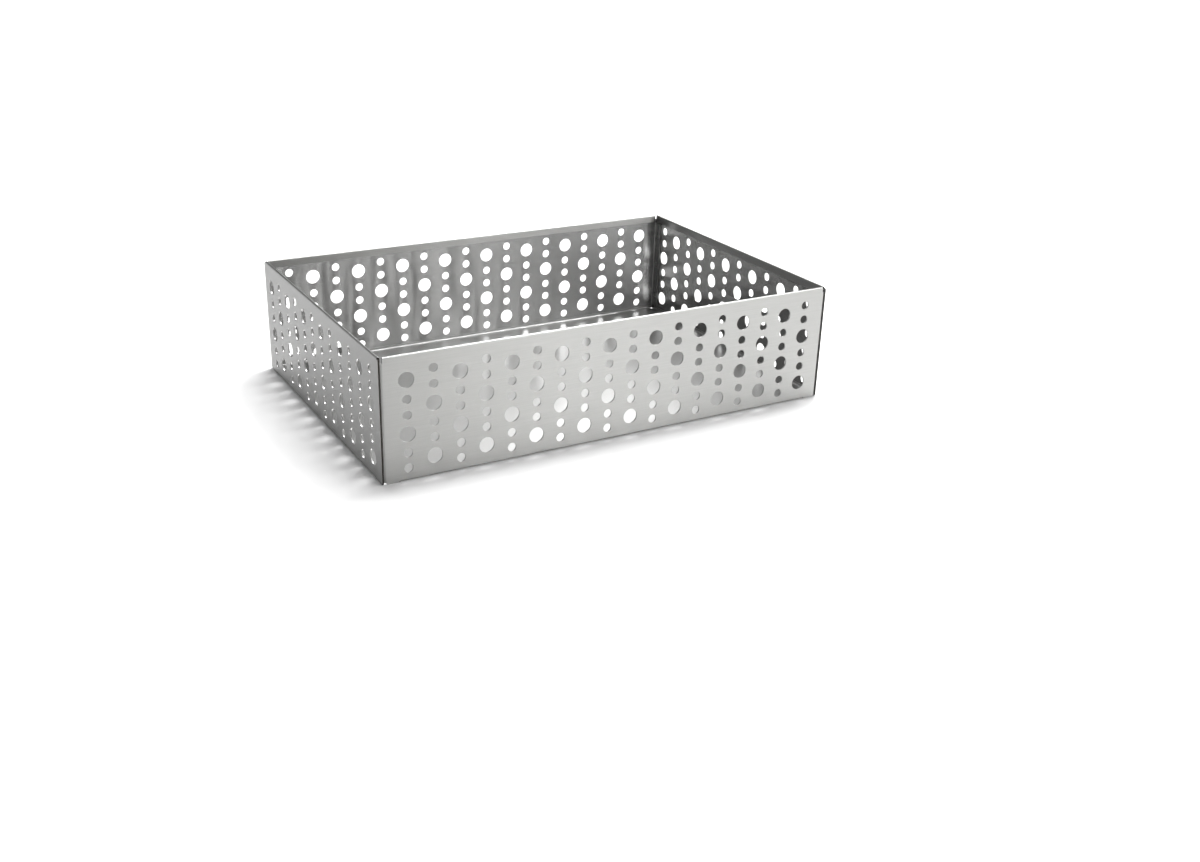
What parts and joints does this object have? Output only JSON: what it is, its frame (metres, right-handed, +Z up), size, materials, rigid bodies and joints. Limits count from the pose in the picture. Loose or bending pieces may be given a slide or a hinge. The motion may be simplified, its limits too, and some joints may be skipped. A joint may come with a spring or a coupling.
{
  "type": "perforated tray",
  "caption": "Open rectangular stainless tray with hemmed, perforated sheet walls and a plain floor, for draining and holding soft or wet goods.",
  "frame": {"origin": "middle of the underside, where the wall flanges rest on a surface", "axes": "+X along the long side towards the right wall, +Y towards the back wall, +Z up out of the open top"},
  "size_m": [0.3, 0.2, 0.074],
  "materials": {
    "stainless_wall": "brushed along the sheet outside, plain mill finish inside",
    "stainless_floor": "mill finish, slightly glossy",
    "weld_metal": "as welded"
  },
  "bodies": {
    "root": {"front_wall": "stainless_wall", "back_wall": "stainless_wall", "left_wall": "stainless_wall", "right_wall": "stainless_wall", "floor_pan": "stainless_floor", "corner_welds_front_left": "weld_metal", "corner_welds_front_right": "weld_metal", "corner_welds_back_left": "weld_metal", "corner_welds_back_right": "weld_metal", "floor_welds_front": "weld_metal", "floor_welds_back": "weld_metal", "floor_welds_left": "weld_metal", "floor_welds_right": "weld_metal"}
  },
  "joints": []
}
